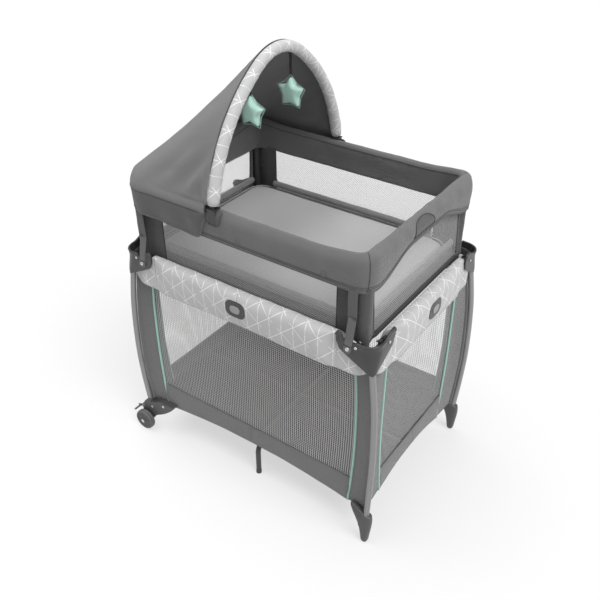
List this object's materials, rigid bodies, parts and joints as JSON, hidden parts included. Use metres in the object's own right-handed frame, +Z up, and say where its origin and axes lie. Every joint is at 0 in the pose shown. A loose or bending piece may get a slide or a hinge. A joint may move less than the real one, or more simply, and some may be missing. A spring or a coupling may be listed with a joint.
{
  "type": "travel play yard",
  "caption": "Folding travel play yard with mesh sides, two wheels and two feet, a lift-off bassinet with a mattress, a tilting canopy and soft hanging toys.",
  "frame": {"origin": "on the floor under the middle of the yard", "axes": "+Z up, X along the yard from the wheel and canopy end (-X) to the end with two fixed feet (+X), -Y the front long side"},
  "size_m": [1.1215, 0.792, 1.5761],
  "materials": {
    "leg_silver": "satin",
    "dark_plastic": "fine texture",
    "dark_tube": "satin",
    "steel": "brushed",
    "wheel_plastic": "satin",
    "button_grey": "satin",
    "mid_plastic": "fine texture",
    "charcoal_cloth": "woven",
    "mattress_cloth": "woven",
    "print_cloth": "woven with a thin line print",
    "mint_plush": "short plush",
    "floor_cloth": "woven",
    "webbing": "webbing",
    "mesh_cloth": "open knit",
    "mint_piping": "piping",
    "white_line": "print"
  },
  "bodies": {
    "leg_front_left": {"leg_tube_front_left": "leg_silver", "corner_hub_front_left": "dark_plastic", "corner_pins_front_left": "steel", "wheel_bracket_front": "dark_plastic", "yard_shell": "charcoal_cloth"},
    "leg_front_right": {"leg_tube_front_right": "leg_silver", "corner_hub_front_right": "dark_plastic", "corner_pins_front_right": "steel", "fixed_foot_front": "dark_plastic"},
    "leg_back_left": {"leg_tube_back_left": "leg_silver", "corner_hub_back_left": "dark_plastic", "corner_pins_back_left": "steel", "wheel_bracket_back": "dark_plastic"},
    "leg_back_right": {"leg_tube_back_right": "leg_silver", "corner_hub_back_right": "dark_plastic", "corner_pins_back_right": "steel", "fixed_foot_back": "dark_plastic"},
    "floor_tube_front_left": {"floor_tube_front_left": "dark_tube"},
    "floor_tube_front_right": {"floor_tube_front_right": "dark_tube"},
    "floor_tube_back_left": {"floor_tube_back_left": "dark_tube"},
    "floor_tube_back_right": {"floor_tube_back_right": "dark_tube"},
    "floor_hub": {"floor_hub": "dark_plastic", "fold_strap": "webbing", "floor_cloth": "floor_cloth"},
    "support_arm_back": {"support_arm_back": "dark_tube"},
    "support_arm_front": {"support_arm_front": "dark_tube"},
    "half_rail_front_left": {"half_rail_front_left": "dark_tube"},
    "half_rail_left_front": {"half_rail_left_front": "dark_tube"},
    "half_rail_front_right": {"half_rail_front_right": "dark_tube"},
    "half_rail_right_front": {"half_rail_right_front": "dark_tube"},
    "half_rail_back_left": {"half_rail_back_left": "dark_tube"},
    "half_rail_left_back": {"half_rail_left_back": "dark_tube"},
    "half_rail_back_right": {"half_rail_back_right": "dark_tube"},
    "half_rail_right_back": {"half_rail_right_back": "dark_tube"},
    "latch_back": {"latch_housing_back": "dark_plastic"},
    "button_back": {"latch_button_back": "button_grey"},
    "latch_front": {"latch_housing_front": "dark_plastic"},
    "button_front": {"latch_button_front": "button_grey"},
    "latch_right": {"latch_housing_right": "dark_plastic"},
    "button_right": {"latch_button_right": "button_grey"},
    "latch_left": {"latch_housing_left": "dark_plastic"},
    "button_left": {"latch_button_left": "button_grey"},
    "wheel_back": {"wheel_back": "wheel_plastic"},
    "brake_back": {"brake_lever_back": "dark_plastic"},
    "wheel_front": {"wheel_front": "wheel_plastic"},
    "brake_front": {"brake_lever_front": "dark_plastic"},
    "bassinet": {"bassinet_top_rail": "dark_tube", "bassinet_lower_frame": "dark_tube", "bassinet_shell": "charcoal_cloth", "bassinet_mattress": "mattress_cloth", "canopy_clips": "dark_plastic", "canopy_cover": "charcoal_cloth"},
    "latch_tab_front_left": {"latch_tab_front_left": "mid_plastic"},
    "latch_tab_front_right": {"latch_tab_front_right": "mid_plastic"},
    "latch_tab_back_left": {"latch_tab_back_left": "mid_plastic"},
    "latch_tab_back_right": {"latch_tab_back_right": "mid_plastic"},
    "canopy": {"canopy_bow": "dark_tube", "bow_sleeve": "print_cloth"},
    "star_back": {"star_toy_back": "mint_plush"},
    "star_front": {"star_toy_front": "mint_plush"}
  },
  "joints": [
    {"name": "yard_fold", "type": "hinge", "parent": "leg_front_left", "child": "floor_tube_front_left", "pos_m": [-0.454, -0.312, 0.15], "axis": [0.5636, -0.826, 0], "range_deg": [0, 80], "deforming": ["yard_shell", "floor_cloth"]},
    {"name": "floor_hub_level", "type": "hinge", "parent": "floor_tube_front_left", "child": "floor_hub", "pos_m": [-0.07, -0.05, 0.15], "axis": [-0.5636, 0.826, 0], "range_deg": [0, 80]},
    {"name": "floor_tube_front_right_drop", "type": "hinge", "parent": "floor_hub", "child": "floor_tube_front_right", "pos_m": [0.07, -0.05, 0.15], "axis": [0.5636, 0.826, 0], "range_deg": [0, 80]},
    {"name": "leg_front_right_level", "type": "hinge", "parent": "floor_tube_front_right", "child": "leg_front_right", "pos_m": [0.454, -0.312, 0.15], "axis": [-0.5636, -0.826, 0], "range_deg": [0, 80]},
    {"name": "floor_tube_back_left_drop", "type": "hinge", "parent": "floor_hub", "child": "floor_tube_back_left", "pos_m": [-0.07, 0.05, 0.15], "axis": [-0.5636, -0.826, 0], "range_deg": [0, 80]},
    {"name": "leg_back_left_level", "type": "hinge", "parent": "floor_tube_back_left", "child": "leg_back_left", "pos_m": [-0.454, 0.312, 0.15], "axis": [0.5636, 0.826, 0], "range_deg": [0, 80]},
    {"name": "floor_tube_back_right_drop", "type": "hinge", "parent": "floor_hub", "child": "floor_tube_back_right", "pos_m": [0.07, 0.05, 0.15], "axis": [-0.5636, 0.826, 0], "range_deg": [0, 80]},
    {"name": "leg_back_right_level", "type": "hinge", "parent": "floor_tube_back_right", "child": "leg_back_right", "pos_m": [0.454, 0.312, 0.15], "axis": [0.5636, -0.826, 0], "range_deg": [0, 80]},
    {"name": "support_arm_back_drop", "type": "hinge", "parent": "floor_hub", "child": "support_arm_back", "pos_m": [-0.011, 0.046, 0.15], "axis": [-1, 0, 0], "range_deg": [0, 80]},
    {"name": "support_arm_front_drop", "type": "hinge", "parent": "floor_hub", "child": "support_arm_front", "pos_m": [0.011, -0.046, 0.15], "axis": [1, 0, 0], "range_deg": [0, 80]},
    {"name": "half_rail_front_left_drop", "type": "hinge", "parent": "leg_front_left", "child": "half_rail_front_left", "pos_m": [-0.412, -0.347, 0.842], "axis": [0, 1, 0], "range_deg": [0, 80]},
    {"name": "half_rail_left_front_drop", "type": "hinge", "parent": "leg_front_left", "child": "half_rail_left_front", "pos_m": [-0.493, -0.29, 0.842], "axis": [-1, 0, 0], "range_deg": [0, 80]},
    {"name": "half_rail_front_right_drop", "type": "hinge", "parent": "leg_front_right", "child": "half_rail_front_right", "pos_m": [0.412, -0.347, 0.842], "axis": [0, -1, 0], "range_deg": [0, 80]},
    {"name": "half_rail_right_front_drop", "type": "hinge", "parent": "leg_front_right", "child": "half_rail_right_front", "pos_m": [0.493, -0.29, 0.842], "axis": [-1, 0, 0], "range_deg": [0, 80]},
    {"name": "half_rail_back_left_drop", "type": "hinge", "parent": "leg_back_left", "child": "half_rail_back_left", "pos_m": [-0.412, 0.347, 0.842], "axis": [0, 1, 0], "range_deg": [0, 80]},
    {"name": "half_rail_left_back_drop", "type": "hinge", "parent": "leg_back_left", "child": "half_rail_left_back", "pos_m": [-0.493, 0.29, 0.842], "axis": [1, 0, 0], "range_deg": [0, 80]},
    {"name": "half_rail_back_right_drop", "type": "hinge", "parent": "leg_back_right", "child": "half_rail_back_right", "pos_m": [0.412, 0.347, 0.842], "axis": [0, -1, 0], "range_deg": [0, 80]},
    {"name": "half_rail_right_back_drop", "type": "hinge", "parent": "leg_back_right", "child": "half_rail_right_back", "pos_m": [0.493, 0.29, 0.842], "axis": [1, 0, 0], "range_deg": [0, 80]},
    {"name": "latch_back_level", "type": "hinge", "parent": "half_rail_back_right", "child": "latch_back", "pos_m": [0.028, 0.356, 0.842], "axis": [0, 1, 0], "range_deg": [0, 80]},
    {"name": "latch_button_back_press", "type": "slide", "parent": "latch_back", "child": "button_back", "axis": [0, -1, 0], "range_m": [0, 0.005], "stiffness_N_per_m": 250, "springref_m": -0.003},
    {"name": "latch_front_level", "type": "hinge", "parent": "half_rail_front_right", "child": "latch_front", "pos_m": [0.028, -0.356, 0.842], "axis": [0, 1, 0], "range_deg": [0, 80]},
    {"name": "latch_button_front_press", "type": "slide", "parent": "latch_front", "child": "button_front", "axis": [0, 1, 0], "range_m": [0, 0.005], "stiffness_N_per_m": 250, "springref_m": -0.003},
    {"name": "latch_right_level", "type": "hinge", "parent": "half_rail_right_back", "child": "latch_right", "pos_m": [0.506, 0.028, 0.842], "axis": [-1, 0, 0], "range_deg": [0, 80]},
    {"name": "latch_button_right_press", "type": "slide", "parent": "latch_right", "child": "button_right", "axis": [-1, 0, 0], "range_m": [0, 0.005], "stiffness_N_per_m": 250, "springref_m": -0.003},
    {"name": "latch_left_level", "type": "hinge", "parent": "half_rail_left_back", "child": "latch_left", "pos_m": [-0.506, 0.028, 0.842], "axis": [-1, 0, 0], "range_deg": [0, 80]},
    {"name": "latch_button_left_press", "type": "slide", "parent": "latch_left", "child": "button_left", "axis": [1, 0, 0], "range_m": [0, 0.005], "stiffness_N_per_m": 250, "springref_m": -0.003},
    {"name": "wheel_back_spin", "type": "hinge", "parent": "leg_back_left", "child": "wheel_back", "pos_m": [-0.531, 0.378, 0.044], "axis": [0, 1, 0], "continuous": true},
    {"name": "brake_back_press", "type": "hinge", "parent": "leg_back_left", "child": "brake_back", "pos_m": [-0.545, 0.3624, 0.104], "axis": [0, -1, 0], "range_deg": [0, 18]},
    {"name": "wheel_front_spin", "type": "hinge", "parent": "leg_front_left", "child": "wheel_front", "pos_m": [-0.531, -0.378, 0.044], "axis": [0, 1, 0], "continuous": true},
    {"name": "brake_front_press", "type": "hinge", "parent": "leg_front_left", "child": "brake_front", "pos_m": [-0.545, -0.3624, 0.104], "axis": [0, -1, 0], "range_deg": [0, 18]},
    {"name": "bassinet_lift", "type": "slide", "parent": "floor_hub", "child": "bassinet", "axis": [0, 0, 1], "range_m": [0, 0.4]},
    {"name": "latch_tab_front_left_swing", "type": "hinge", "parent": "bassinet", "child": "latch_tab_front_left", "pos_m": [-0.425, -0.351, 0.94], "axis": [-1, 0, 0], "range_deg": [0, 60]},
    {"name": "latch_tab_front_right_swing", "type": "hinge", "parent": "bassinet", "child": "latch_tab_front_right", "pos_m": [0.425, -0.351, 0.94], "axis": [-1, 0, 0], "range_deg": [0, 60]},
    {"name": "latch_tab_back_left_swing", "type": "hinge", "parent": "bassinet", "child": "latch_tab_back_left", "pos_m": [-0.425, 0.351, 0.94], "axis": [1, 0, 0], "range_deg": [0, 60]},
    {"name": "latch_tab_back_right_swing", "type": "hinge", "parent": "bassinet", "child": "latch_tab_back_right", "pos_m": [0.425, 0.351, 0.94], "axis": [1, 0, 0], "range_deg": [0, 60]},
    {"name": "canopy_fold", "type": "hinge", "parent": "bassinet", "child": "canopy", "pos_m": [-0.089, 0, 1.165], "axis": [0, -1, 0], "range_deg": [0, 60], "deforming": ["canopy_cover"]},
    {"name": "star_back_swing", "type": "hinge", "parent": "canopy", "child": "star_back", "pos_m": [-0.089, 0.063, 1.516], "axis": [0, 1, 0], "range_deg": [-40, 20]},
    {"name": "star_front_swing", "type": "hinge", "parent": "canopy", "child": "star_front", "pos_m": [-0.089, -0.149, 1.456], "axis": [0, 1, 0], "range_deg": [-40, 20]}
  ],
  "couplings": [
    {"joint": "floor_hub_level", "follows": "yard_fold", "ratio": 1},
    {"joint": "floor_tube_front_right_drop", "follows": "yard_fold", "ratio": 1},
    {"joint": "leg_front_right_level", "follows": "yard_fold", "ratio": 1},
    {"joint": "floor_tube_back_left_drop", "follows": "yard_fold", "ratio": 1},
    {"joint": "leg_back_left_level", "follows": "yard_fold", "ratio": 1},
    {"joint": "floor_tube_back_right_drop", "follows": "yard_fold", "ratio": 1},
    {"joint": "leg_back_right_level", "follows": "yard_fold", "ratio": 1},
    {"joint": "support_arm_back_drop", "follows": "yard_fold", "ratio": 1},
    {"joint": "support_arm_front_drop", "follows": "yard_fold", "ratio": 1},
    {"joint": "half_rail_front_left_drop", "follows": "yard_fold", "ratio": 1},
    {"joint": "half_rail_left_front_drop", "follows": "yard_fold", "ratio": 1},
    {"joint": "half_rail_front_right_drop", "follows": "yard_fold", "ratio": 1},
    {"joint": "half_rail_right_front_drop", "follows": "yard_fold", "ratio": 1},
    {"joint": "half_rail_back_left_drop", "follows": "yard_fold", "ratio": 1},
    {"joint": "half_rail_left_back_drop", "follows": "yard_fold", "ratio": 1},
    {"joint": "half_rail_back_right_drop", "follows": "yard_fold", "ratio": 1},
    {"joint": "half_rail_right_back_drop", "follows": "yard_fold", "ratio": 1},
    {"joint": "latch_back_level", "follows": "yard_fold", "ratio": 1},
    {"joint": "latch_front_level", "follows": "yard_fold", "ratio": 1},
    {"joint": "latch_right_level", "follows": "yard_fold", "ratio": 1},
    {"joint": "latch_left_level", "follows": "yard_fold", "ratio": 1},
    {"joint": "bassinet_lift", "follows": "yard_fold", "m_per_rad": 0.28}
  ]
}
